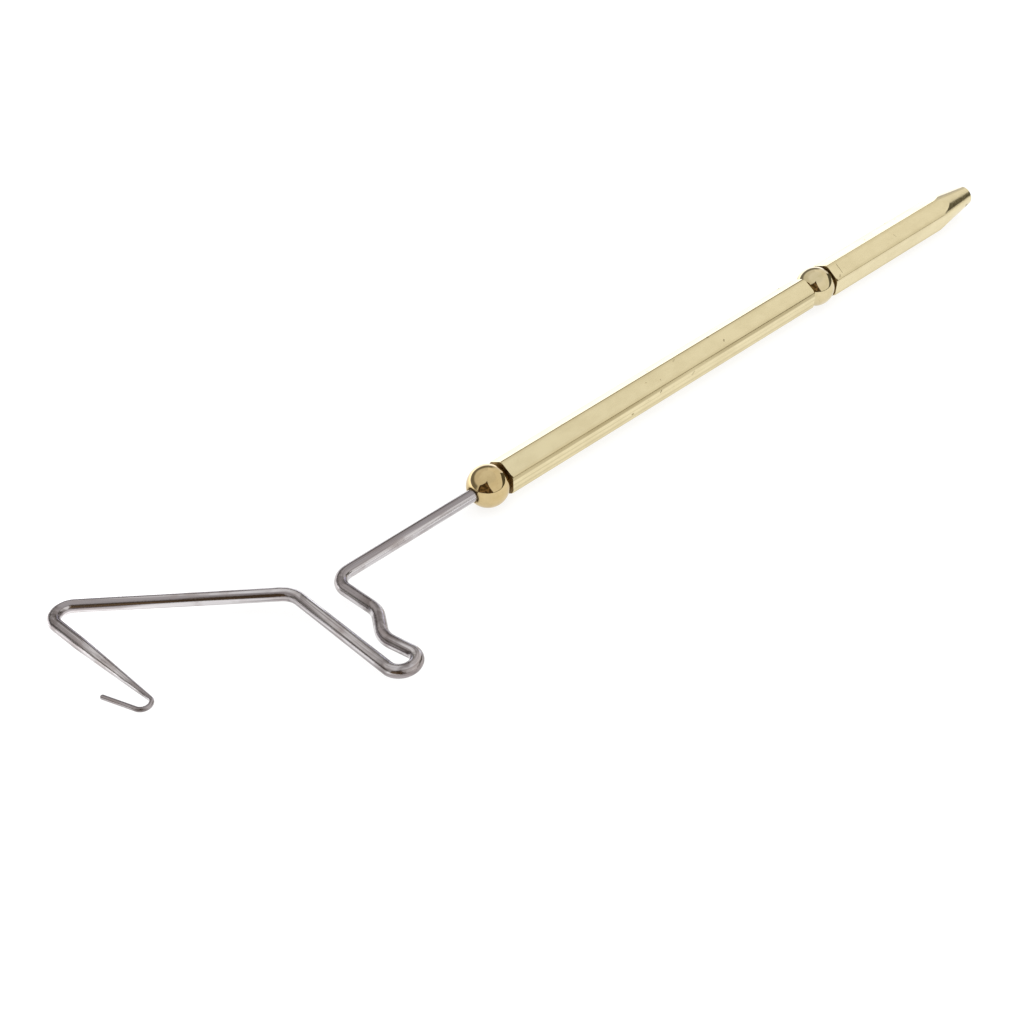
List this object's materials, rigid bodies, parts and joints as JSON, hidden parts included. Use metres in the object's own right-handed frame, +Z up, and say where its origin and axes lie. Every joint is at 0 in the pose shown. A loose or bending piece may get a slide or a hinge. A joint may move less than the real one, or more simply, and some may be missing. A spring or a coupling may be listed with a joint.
{
  "type": "rotary whip finisher",
  "caption": "Bent steel wire hook on a spindle that turns inside a hexagonal brass barrel between two brass balls, with a tapered brass half-hitch tip.",
  "frame": {"origin": "on the surface the tool lies on, under the middle of its bounding box", "axes": "+X along the handle from the wire hook to the half-hitch tip, +Y towards the elbow of the wire, +Z up"},
  "size_m": [0.1662, 0.0432, 0.006],
  "materials": {
    "steel_wire": "drawn wire, long fine streaks, dull polish",
    "polished_brass": "mirror polished",
    "handle_brass": "polished drawn hexagon bar, fine lengthwise lines and small pits",
    "bush_bronze": "turned bearing bronze",
    "washer_steel": "dark oiled steel"
  },
  "bodies": {
    "hook_frame": {"hook_wire": "steel_wire", "front_ball": "polished_brass", "thrust_washer": "washer_steel", "rear_ball": "polished_brass", "half_hitch_tip": "handle_brass"},
    "handle": {"barrel": "handle_brass", "front_bush": "bush_bronze", "rear_bush": "bush_bronze"}
  },
  "joints": [
    {"name": "barrel_spin", "type": "hinge", "parent": "hook_frame", "child": "handle", "pos_m": [0.012, -0.00069, 0.003], "axis": [1, 0, 0], "continuous": true}
  ]
}
